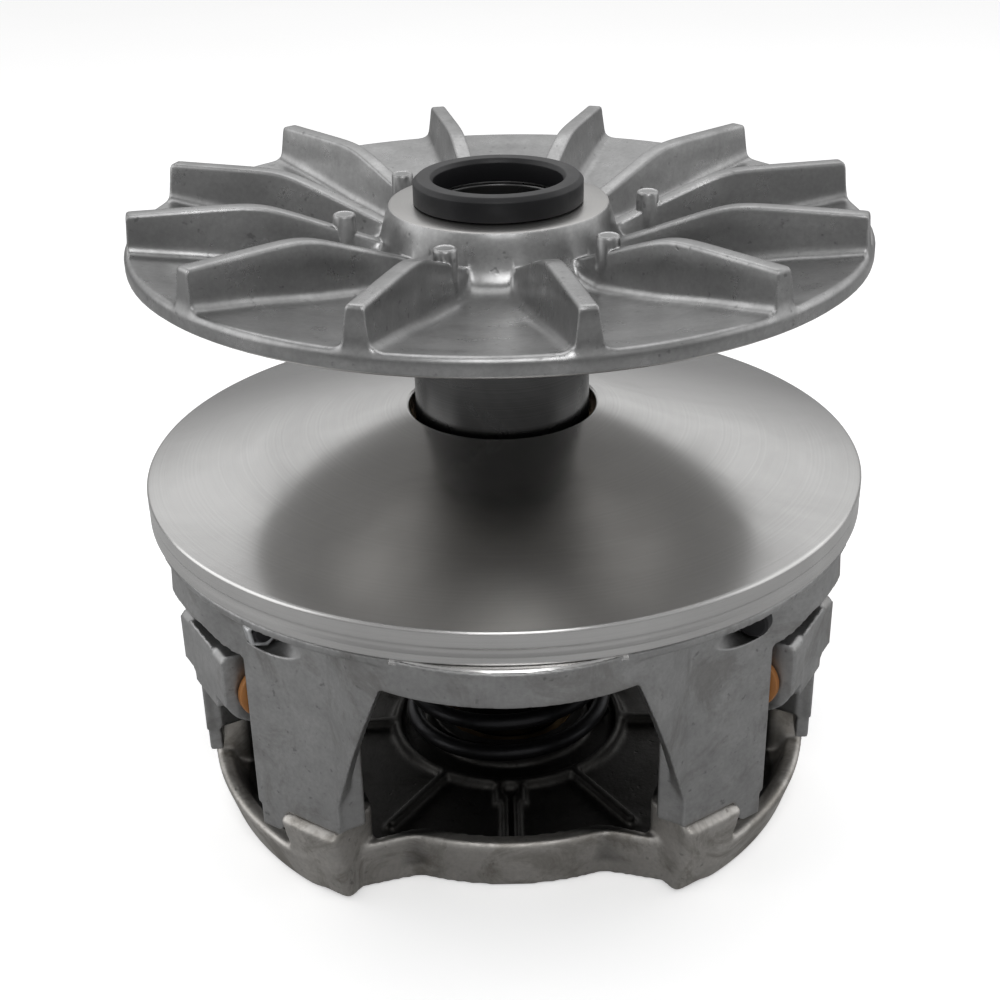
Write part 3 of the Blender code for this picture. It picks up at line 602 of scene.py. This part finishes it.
fan = dress(fixed_sheave(), "fan", "shaft_group", "cast_aluminium", "fixed_sheave")
fan.data.materials.append(looks["face"])
for polygon in fan.data.polygons:
    middle = polygon.center / MM
    reach = math.hypot(middle.x, middle.y)
    on_hub = middle.z > HUB_Z - 0.5 and reach < HUB_R
    on_belt_face = polygon.normal.z < -0.5 or reach < 24.0
    polygon.material_index = 1 if on_hub or on_belt_face else 0


# Post, collar and small turned pieces on the shaft group


def shaft_pieces():
    """Post, collar, thrust washer and ring nut."""
    belt_low = RIM_Z + FIXED_RIM_UP - 15.6
    post = soften([
        (21.0, POST_TOP), (21.0, belt_low), (POST_R, belt_low), (POST_R, POST_STEP),
        (POST_LOW_R, POST_STEP), (POST_LOW_R, 4.0), (7.5, 4.0), (7.5, RIM_Z - 24.0),
        (13.5, RIM_Z - 12.0), (17.15, POST_TOP)], 0.5)
    dress(turned("shaft_post", post), "post", "shaft_group", "dark_steel", "center_post")
    low, high = RIM_Z + 72.75, RIM_Z + 79.1
    collar = soften([(22.55, low), (17.15, low), (17.15, high - 1.1), (18.0, high), (21.4, high),
                     (22.55, high - 1.1)], 0.25, 3)
    dress(turned("collar_ring", collar), "collar", "shaft_group", "black_oxide", "shaft_collar")
    washer = soften([(POST_BORE_R, POST_STEP - GAP), (POST_BORE_R, POST_STEP - 2.1), (27.0, POST_STEP - 2.1),
                     (27.0, POST_STEP - GAP)], 0.3, 3)
    dress(turned("thrust_washer", washer, 96), "zinc", "shaft_group", "zinc_plate", "spider_washer")
    nut = soften([(POST_BORE_R, ARM_LOW - GAP), (POST_BORE_R, ARM_LOW - 5.0), (22.5, ARM_LOW - 5.0),
                  (22.5, ARM_LOW - GAP)], 0.5, 3)
    dress(turned("ring_nut", nut, 72), "oxide", "shaft_group", "black_oxide", "spider_nut")


shaft_pieces()


# Movable sheave: turned cone and rim, and the casting under it


def belt_cone():
    """The turned part: belt face, rim with its shallow groove, and the inner hub."""
    def belt(r):
        return RIM_Z + SLOPE * (SHEAVE_R - r)

    loop = [
        (26.3, belt(26.3) - 0.5), (26.9, belt(26.9)), (98.9, belt(98.9)), (99.6, RIM_Z - 0.1),
        (99.95, RIM_Z - 0.6), (99.95, RIM_Z - 4.1), (99.6, RIM_Z - 4.9), (99.5, RIM_Z - 5.4),
        (99.6, RIM_Z - 6.0), (99.9, RIM_Z - 7.0), (99.9, RIM_Z - 8.8), (99.4, BAND_LOW), (94.0, BAND_LOW),
        (37.0, RIM_Z + 4.6), (32.0, RIM_Z + 1.0), (32.0, RIM_Z - 26.0), (26.3, RIM_Z - 26.0)]
    made = turned("belt_cone", soften(loop, 0.2, 3, keep=(2,)), 288, sharp=25.0)
    dress(made, "cone", "movable_group", "machined_aluminium", "movable_sheave")


def casting_radius(azimuth, z):
    """Outer radius of the casting below the rim."""
    a = folded(azimuth)
    reach = LOBE_OFFSET * math.sin(math.radians(a))
    lobe = LOBE_OFFSET * math.cos(math.radians(a)) + math.sqrt(LOBE_R ** 2 - reach ** 2)
    lobe -= 1.4 * smooth_step(a, 23.0, 28.5)       # the gusset lies a little behind its panel
    panel = PANEL_D / math.cos(math.radians(a - PANEL_AZ))
    skirt = 98.3 - 0.4 * smooth_step(z, SKIRT_LOW, SKIRT_LOW + 8.0)
    if a <= PANEL_FROM + 0.5:
        return mix(lobe, panel, smooth_step(a, PANEL_FROM - 1.0, PANEL_FROM + 0.5))
    return mix(panel, skirt, smooth_step(a, PANEL_TO - 1.0, PANEL_TO + 7.0))


def casting_low(azimuth):
    """Lower edge of that casting's outer wall."""
    a = folded(azimuth)
    if a <= GUSSET_FROM:
        return LOBE_LOW
    if a < PANEL_FROM:
        return mix(LOBE_LOW, GUSSET_LOW, (a - GUSSET_FROM) / (PANEL_FROM - GUSSET_FROM))
    if a <= PANEL_TO:
        return TOWER_LOW
    return SKIRT_LOW - 7.5 * (1.0 - smooth_step(a, PANEL_TO, PANEL_TO + 6.5))


def screw_places():
    for window in WINDOWS:
        for side in SIDES:
            yield window + side * PANEL_AZ, SCREW_D, side * SCREW_T


def towers():
    """The outer wall with its panels and gussets, the tower walls, and what is drilled in them."""
    top = BAND_LOW - 0.4

    def skin(azimuth):
        low = casting_low(azimuth)
        levels = (top, SKIRT_LOW + 6.0, max(low, SKIRT_LOW - 0.1), low)
        outer = [(casting_radius(azimuth, z), z) for z in levels]
        thickness = 3.1 if folded(azimuth) > PANEL_TO + 0.5 else 4.5
        inner = [(min(r, 98.6) - thickness, z) for r, z in reversed(outer)]
        return outer + inner

    azimuths = []
    for window in WINDOWS:
        half = [i * 0.75 for i in range(81)]
        half += [GUSSET_FROM, PANEL_FROM - 0.05, PANEL_TO + 0.05]
        half = sorted(set(half))
        azimuths += [window + a for a in half] + [window + 120.0 - a for a in reversed(half[1:-1])]
    shells = [polar_solid("skin", skin, azimuths)]
    rim_root = [(99.0, top), (99.0, top - 2.4), (90.0, top - 2.4), (37.0, RIM_Z + 1.6), (37.0, RIM_Z + 4.0),
                (93.0, top)]
    shells.append(turned("root", rim_root, 120))
    for azimuth in STATIONS:
        for side in SIDES:
            def span(low, high, side=side):
                return sorted((side * low, side * high))
            for u_range, (s0, s1) in (((62.0, 86.6), (SLOT_HALF, SLOT_HALF + 4.6)),
                                      ((69.8, 76.4), (40.4, 44.4))):
                shells.append(station_box(azimuth, u_range, span(s0, s1), (TOWER_LOW + 0.2, RIM_Z - 1.0)))
            foot = [place(azimuth, u, side * s, TOWER_LOW + 0.2) for u, s in
                    ((70.0, SLOT_HALF + 2.0), (86.4, SLOT_HALF + 2.0), (75.6, 43.0), (70.0, 43.0))]
            shells.append(prism("foot", foot, (0, 0, 7.0)))
    for azimuth, d, t in screw_places():
        shells.append(rod(place(azimuth, d, t, TOWER_LOW + 0.1), (0, 0, 1), 6.2, (0.0, 26.0)))
        side = 1 if t > 0 else -1
        outline = [(11.0, -74.6), (13.6, -81.6), (15.0, -82.6), (20.6, -82.6), (20.6, -71.0),
                   (11.0, -71.0)]
        tab = [place(azimuth, PANEL_D - 0.2, side * s, RIM_Z + z) for s, z in outline]
        shells.append(prism("tab", tab, outward(azimuth) * -3.8))
    made = casting("tower_casting", shells, voxel=0.65, rounds=3, share=0.28)
    cuts = []
    for azimuth in STATIONS:
        axis = across(azimuth)
        pivot = place(azimuth, PIVOT_U, 0.0, PIVOT_Z)
        cuts.append(rod(pivot, axis, PIVOT_R + GAP, (-30.0, 30.0), 24))
        for side in SIDES:
            cuts.append(rod(pivot, axis, POCKET_R, sorted((side * 21.0, side * 50.0)), 40))
    for azimuth, d, t in screw_places():
        cuts.append(rod(place(azimuth, d, t, TOWER_LOW - 1.0), (0, 0, 1), SCREW_R + GAP, (0.0, 22.0), 24))
    finish_casting(cut(made, cuts))
    dress(made, "tower", "movable_group", "cast_aluminium")


def window_lands():
    """The machined land on top of the bulge over each window, just under the rim."""
    steps, reach, inner, high = 24, 16.5, 97.5, BAND_LOW - 0.05
    for index, window in enumerate(WINDOWS):
        sections = []
        for i in range(steps + 1):
            azimuth = window + mix(-reach, reach, i / steps)
            outer = max(casting_radius(azimuth, high) - 0.1, 99.3)
            section = ((inner, high), (outer - 0.9, high), (outer, high - 1.1), (outer, high - 1.6),
                       (inner, high - 1.6))
            sections.append([place(azimuth, r, 0.0, z) for r, z in section])
        dress(stack(f"window_land_{index + 1}", sections), "cone", "movable_group", "machined_aluminium")


belt_cone()
window_lands()
towers()


# Spider


def spider():
    """Hub, web and three forked arms, each with a closed end."""
    hub = [(POST_BORE_R, POST_STEP - 2.4), (POST_BORE_R, ARM_LOW), (22.0, ARM_LOW),
           (22.0, WEB_LOW), (WEB_R, WEB_LOW), (WEB_R, POST_STEP - 2.4)]
    shells = [turned("hub", hub, 120)]
    for azimuth in STATIONS:
        for side in SIDES:
            near, far = sorted((side * ARM_SLOT_HALF, side * ARM_HALF))
            outline = [(34.0, ARM_TOP), (ARM_END_U - 1.5, ARM_TOP), (ARM_END_U, ARM_TOP - 1.5),
                       (ARM_END_U, ROLLER_Z - 3.0)]
            for i in range(1, 9):
                a = math.radians(mix(0.0, 110.0, i / 8))
                outline.append((84.6 + 10.4 * math.cos(a), ROLLER_Z + 0.4 - 10.6 * math.sin(a)))
            outline += [(70.0, ARM_LOW - 1.2), (36.0, WEB_LOW - 2.0), (34.0, WEB_LOW - 0.5)]
            rail = [place(azimuth, u, near, z) for u, z in outline]
            shells.append(prism("rail", rail, across(azimuth) * (far - near)))
        shells.append(station_box(azimuth, (ARM_END_U - 3.6, ARM_END_U - 0.1),
                                  (-ARM_SLOT_HALF - 1.0, ARM_SLOT_HALF + 1.0),
                                  (ARM_LOW + 0.4, ARM_TOP - 0.1)))
    made = casting("arm_casting", shells, voxel=0.55, rounds=2, share=0.4)
    holes = [rod(place(a, ROLLER_U, 0.0, ROLLER_Z), across(a), 3.0 + GAP,
                 (-ARM_HALF - 2.0, ARM_HALF + 2.0), 24) for a in STATIONS]
    finish_casting(cut(made, holes))
    dress(made, "tower", "shaft_group", "cast_aluminium", "spider")


spider()


# Cover


def cover_radius(azimuth):
    """Outer radius: drawn in at the windows, round at the stations."""
    return mix(COVER_WINDOW_R, COVER_R, smooth_step(folded(azimuth), 20.0, 40.0))


def cover():
    """The dish, a pad under each tower, and the ribs and ring on the floor."""
    def section(azimuth):
        r = cover_radius(azimuth)
        high = 15.0 - 2.0 * smooth_step(folded(azimuth), 30.0, 45.0)
        draft = 1.2 + 2.8 * smooth_step(folded(azimuth), 22.0, 40.0)
        return [
            (POST_LOW_R + 3.2, 0.0), (27.0, 0.0), (28.5, FLOOR_LOW), (r - 9.0, FLOOR_LOW), (r - 7.5, 0.0),
            (r - draft, 0.0), (r - 0.7 * draft, 1.2), (r + 0.4, high - 1.2), (r - 0.4, high), (r - 4.0, high),
            (r - 5.8, FLOOR_HIGH + 1.2), (r - 7.4, FLOOR_HIGH), (36.0, FLOOR_HIGH),
            (35.0, FLOOR_HIGH + 3.0), (33.2, FLOOR_HIGH + 3.0), (32.6, FLOOR_HIGH), (25.0, FLOOR_HIGH),
            (24.0, 15.0), (POST_LOW_R + 3.2, 15.0),
        ]

    shells = [polar_solid("dish", section, [1.0 * i for i in range(360)])]
    for azimuth, d, t in screw_places():
        side = 1 if t > 0 else -1
        corners = ((70.0, 0.0), (74.5, -5.4), (88.2, -5.4), (88.2, 8.6), (84.0, 12.4), (70.0, 12.4))
        layers = []
        for z, swell, reach in ((1.0, 0.0, 85.8), (PAD_TOP - 1.9, 0.4, 91.4), (PAD_TOP, -0.4, 88.2)):
            layers.append([place(azimuth, min(u + 9.0, reach) if u > SCREW_D else u,
                                 side * (s + math.copysign(swell, s)), z) for u, s in corners])
        shells.append(stack("pad", [soften(layer, 2.4) for layer in layers]))
    for window in WINDOWS:
        for turn in (-RIB_AZ, RIB_AZ):
            shells.append(station_box(window + turn, (RIB_FROM, RIB_REACH), (-1.3, 1.3),
                                      (FLOOR_HIGH - 1.0, FLOOR_HIGH + 2.6)))
        for side in SIDES:
            # two thin ribs side by side, spread apart where they leave the ring
            for (low, high), reach in (((0.7, 2.4), (40.0, RIB_REACH)), ((2.2, 4.4), (34.5, 43.0))):
                near, far = sorted((side * low, side * high))
                shells.append(station_box(window, reach, (near, far), (FLOOR_HIGH - 1.0, FLOOR_HIGH + 2.4)))
    made = casting("cover_casting", shells, voxel=0.75, rounds=4, share=0.4)
    cuts = []
    for azimuth, d, t in screw_places():
        centre = place(azimuth, d, t, 0.0)
        cuts.append(rod(centre, (0, 0, 1), SCREW_R + GAP, (-2.0, PAD_TOP + 2.0), 28))
        cuts.append(rod(centre, (0, 0, 1), SCREW_HEAD_R + 0.7, (-2.0, 9.0), 36))
    finish_casting(cut(made, cuts))
    dress(made, "cover", "movable_group", "cover_casting", "cover")


cover()


# Spring


def spring():
    """A round wire coil, its end turns closer together than the rest."""
    per_turn, sides = 64, 18
    steps = int(per_turn * SPRING_TURNS)
    low, high = SPRING_LOW + SPRING_WIRE_R, SPRING_HIGH - SPRING_WIRE_R
    points, faces = [], []
    for i in range(steps + 1):
        part = i / steps
        angle = 2.0 * math.pi * SPRING_TURNS * part
        rise = smooth_step(part, 0.0, 1.0) * 0.45 + part * 0.55
        radial = Vector((math.cos(angle), math.sin(angle), 0.0))
        centre = radial * SPRING_R + Vector((0.0, 0.0, mix(low, high, rise)))
        for k in range(sides):
            a = 2.0 * math.pi * k / sides
            points.append(centre + (radial * math.cos(a) + Vector((0, 0, math.sin(a)))) * SPRING_WIRE_R)
    for i in range(steps):
        for k in range(sides):
            m = (k + 1) % sides
            faces.append((i * sides + k, i * sides + m, (i + 1) * sides + m, (i + 1) * sides + k))
    faces += [tuple(range(sides)), tuple(range(steps * sides, (steps + 1) * sides))]
    made = make_object("coil_spring", points, faces)
    dress(made, "spring", "shaft_group", "spring_steel", "primary_spring")
    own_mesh(made)


spring()


# Rollers, flyweights, buttons, bolts and screws


def weight_outline(azimuth):
    """Flyweight profile: its outer flank is the path the roller rolls along as the sheave moves."""
    steps = 24
    rate = math.radians(SWING) / SHIFT
    flank = []
    for i in range(steps + 1):
        q = (SHIFT + 2.0) * i / steps
        turn = rate * q
        du, dw = ROLLER_U - PIVOT_U, ROLLER_Z - PIVOT_Z - q
        cu = math.cos(turn) * du + math.sin(turn) * dw
        cw = -math.sin(turn) * du + math.cos(turn) * dw
        tu = rate * (-math.sin(turn) * du + math.cos(turn) * dw) - math.sin(turn)
        tw = rate * (-math.cos(turn) * du - math.sin(turn) * dw) - math.cos(turn)
        size = math.hypot(tu, tw)
        offset = ROLLER_R + GAP
        thickness = 6.5 + 6.5 * math.sin(math.pi * min(i / steps + 0.12, 1.0))
        flank.append((cu + offset * tw / size, cw - offset * tu / size,
                      cu + (offset + thickness) * tw / size, cw - (offset + thickness) * tu / size))
    heel = [math.radians(a) for a in range(-115, 176, 12)]
    outline = [(5.8 * math.cos(a), 5.8 * math.sin(a)) for a in heel]
    outline += [(p[2], p[3]) for p in flank]
    outline += [(p[0], p[1]) for p in reversed(flank)]
    return [place(azimuth, PIVOT_U + u, 0.0, PIVOT_Z + w) for u, w in outline]


def tube(inner, outer, half, edge):
    """Section of a bushing or roller, with rounded edges."""
    return soften([(inner, -half), (outer, -half), (outer, half), (inner, half)], edge, 3)


def station(number, azimuth):
    """Everything at one arm end: roller, its pin and bushing, buttons, flyweight, pivot bolt, nut."""
    axis = across(azimuth)
    hub = place(azimuth, ROLLER_U, 0.0, ROLLER_Z)
    pivot = place(azimuth, PIVOT_U, 0.0, PIVOT_Z)
    pin = [(0.0, -15.0), (2.5, -15.0), (3.0, -14.5), (3.0, 14.5), (2.5, 15.0), (0.0, 15.0)]
    dress(lathe(f"axle_{number}", hub, axis, pin), "steel", "shaft_group", "dark_steel",
          f"roller_pin_{number}")
    dress(lathe(f"wheel_{number}", hub, axis, tube(4.8, ROLLER_R, ROLLER_HALF, 0.6), 64), "steel",
          f"roller_body_{number}", "dark_steel", f"roller_{number}")
    dress(lathe(f"wheel_liner_{number}", hub, axis, tube(3.3, 4.5, ROLLER_HALF, 0.2), 48), "bronze",
          f"roller_body_{number}", "bearing_bronze", f"roller_bushing_{number}")
    for side, label in zip(SIDES, ("a", "b")):
        section = [(0.0, side * 15.3), (7.4, side * 15.3), (8.0, side * 15.7), (8.0, side * 16.7),
                   (7.75, side * 17.15), (7.2, side * 17.4), (2.4, side * 17.5), (1.9, side * 17.1),
                   (0.0, side * 17.1)]
        dress(lathe(f"pad_{number}{label}", hub, axis, section, 48), "polymer", "shaft_group",
              "slider_polymer", f"slider_button_{number}{label}")
    weight = prism(f"weight_{number}", [p - axis * 5.2 for p in weight_outline(azimuth)], axis * 10.4)
    cut(weight, [rod(pivot, axis, 4.5, (-10.0, 10.0), 48)])
    edge = weight.modifiers.new("edge", "BEVEL")
    edge.width = 0.5 * MM
    edge.segments = 2
    edge.limit_method = "ANGLE"
    edge.angle_limit = math.radians(40.0)
    finish_casting(bake_modifiers(weight))
    dress(weight, "forged", f"flyweight_body_{number}", "forged_steel", f"flyweight_{number}")
    dress(lathe(f"weight_liner_{number}", pivot, axis, tube(3.2, 4.2, 5.2, 0.2), 48), "bronze",
          f"flyweight_body_{number}", "bearing_bronze", f"flyweight_bushing_{number}")
    bolt = [(0.0, -25.3), (3.9, -25.3), (4.5, -24.7), (4.5, -21.8), (4.1, -21.3), (2.9, -21.3),
            (2.9, 25.1), (2.4, 25.6), (0.0, 25.6)]
    dress(lathe(f"bolt_{number}", pivot, axis, bolt), "oxide", "movable_group", "dark_steel",
          f"pivot_bolt_{number}")
    nut = lathe(f"nut_{number}", pivot, axis, [(3.3, 21.3), (4.6, 21.3), (4.6, 24.9), (3.3, 24.9)], 6)
    nut_edge = nut.modifiers.new("edge", "BEVEL")
    nut_edge.width = 0.35 * MM
    nut_edge.segments = 2
    nut_edge.limit_method = "ANGLE"
    bake_modifiers(nut)
    dress(nut, "zinc", "movable_group", "zinc_plate", f"pivot_nut_{number}")


def screws():
    """The cover's screws, their hexagon heads sunk in its underside."""
    for index, (azimuth, d, t) in enumerate(screw_places()):
        centre = place(azimuth, d, t, 0.0)
        shank = [(0.0, 5.0), (3.0, 5.0), (3.0, PAD_TOP + 13.5), (2.5, PAD_TOP + 14.0), (0.0, PAD_TOP + 14.0)]
        made = lathe(f"screw_{index + 1}", centre, (0, 0, 1), shank, 28)
        hexagon = [(0.0, 3.4), (SCREW_HEAD_R - 0.5, 3.4), (SCREW_HEAD_R, 3.9), (SCREW_HEAD_R, 8.6),
                   (0.0, 8.6)]
        head = lathe("head", centre, (0, 0, 1), hexagon, 6)
        cut(made, [head], "UNION")
        finish_casting(made)
        dress(made, "zinc", "movable_group", "zinc_plate", f"cover_screw_{index + 1}")


for index, azimuth in enumerate(STATIONS):
    station(str(index + 1), azimuth)
screws()

liner = soften([(POST_R + GAP, RIM_Z - 24.0), (POST_R + GAP, RIM_Z + 6.0), (26.0, RIM_Z + 6.0),
                (26.0, RIM_Z - 24.0)], 0.3, 3)
dress(turned("sheave_liner", liner, 120), "bronze", "movable_group", "bearing_bronze", "sheave_bushing")
sleeve = soften([(POST_BORE_R, 1.0), (POST_BORE_R, 14.0), (19.9, 14.0), (19.9, 1.0)], 0.3, 3)
dress(turned("cover_sleeve", sleeve, 96), "bronze", "movable_group", "bearing_bronze", "cover_bushing")


# Floor, light and camera


def studio():
    """A pale floor, a bright backdrop that is dimmer in the metal's reflections, and four lamps."""
    bpy.ops.mesh.primitive_circle_add(vertices=96, radius=3.0, fill_type="NGON", location=(0, 0, -0.0005))
    floor = bpy.context.active_object
    floor.name = "floor"
    paint = Paint("pale_floor", 0.0)
    tone = paint.remap(paint.noise(3.0, 2.0), 0.3, 0.7)
    seen = paint.add("ShaderNodeLightPath").outputs["Is Camera Ray"]
    pale = paint.blend(tone, grey(0.90), grey(0.93))
    floor.data.materials.append(paint.finish(paint.blend(seen, grey(0.46), pale), 0.7))
    paint.shader.inputs["Emission Color"].default_value = grey(1.0)
    paint.feed(paint.shader.inputs["Emission Strength"], paint.math("MULTIPLY", seen, 0.45))
    world = bpy.data.worlds.new("studio")
    bpy.context.scene.world = world
    world.use_nodes = True
    tree = world.node_tree

    def ramp(value, low, high, to_low, to_high):
        made = tree.nodes.new("ShaderNodeMapRange")
        for name, number in zip(("From Min", "From Max", "To Min", "To Max"), (low, high, to_low, to_high)):
            made.inputs[name].default_value = number
        tree.links.new(value, made.inputs["Value"])
        return made

    way = tree.nodes.new("ShaderNodeSeparateXYZ")
    tree.links.new(tree.nodes.new("ShaderNodeTexCoord").outputs["Generated"], way.inputs[0])
    light = tree.nodes.new("ShaderNodeMath")
    light.operation = "MULTIPLY"
    tree.links.new(ramp(way.outputs["Z"], -0.1, 0.35, 0.15, 1.0).outputs[0], light.inputs[0])
    tree.links.new(ramp(way.outputs["Y"], -0.7, 0.5, 0.45, 0.82).outputs[0], light.inputs[1])
    dimmed = tree.nodes.new("ShaderNodeMath")
    dimmed.operation = "MULTIPLY"
    tree.links.new(light.outputs[0], dimmed.inputs[0])
    tree.links.new(ramp(way.outputs["Z"], 0.55, 0.9, 1.0, 0.45).outputs[0], dimmed.inputs[1])
    seen = ramp(tree.nodes.new("ShaderNodeLightPath").outputs["Is Camera Ray"], 0.0, 1.0, 0.0, 1.0)
    tree.links.new(dimmed.outputs[0], seen.inputs["To Min"])
    back = tree.nodes["Background"]
    back.inputs["Color"].default_value = (1.0, 1.0, 1.0, 1.0)
    tree.links.new(seen.outputs[0], back.inputs["Strength"])
    lamps = (
        ("top", (0.0, 0.35, 0.95), (0.0, 0.0, 0.1), 0.9, 2.4),
        ("left", (-0.85, -0.05, 0.50), (0.0, 0.0, 0.1), 0.9, 2.0),
        ("right", (0.85, 0.10, 0.50), (0.0, 0.0, 0.1), 0.9, 1.2),
        ("front", (0.05, -0.75, 0.95), (0.0, 0.0, 0.07), 0.5, 2.6),
    )
    for name, spot, target, size, power in lamps:
        data = bpy.data.lights.new(name, "AREA")
        data.size = size
        data.energy = power
        lamp = bpy.data.objects.new(name, data)
        bpy.context.collection.objects.link(lamp)
        lamp.location = spot
        lamp.rotation_euler = (Vector(target) - Vector(spot)).to_track_quat("-Z", "Y").to_euler()


def camera():
    """The camera in front and above, tilted down and rolled a little."""
    tilt, roll = math.radians(26.758), math.radians(1.202)
    forward = Vector((0.0, math.cos(tilt), -math.sin(tilt)))
    right = Vector((1.0, 0.0, 0.0))
    up = Vector((0.0, math.sin(tilt), math.cos(tilt)))
    turned_right = right * math.cos(roll) - up * math.sin(roll)
    turned_up = right * math.sin(roll) + up * math.cos(roll)
    data = bpy.data.cameras.new("camera")
    data.lens, data.sensor_width, data.clip_start = 56.5, 36.0, 0.01
    made = bpy.data.objects.new("camera", data)
    bpy.context.collection.objects.link(made)
    facing = Matrix((turned_right, turned_up, -forward)).transposed().to_4x4()
    made.matrix_world = Matrix.Translation((-0.001244, -0.40625, 0.28956)) @ facing
    bpy.context.scene.camera = made


studio()
camera()
bpy.context.scene.view_settings.view_transform = "Standard"      # keeps the pale ground white
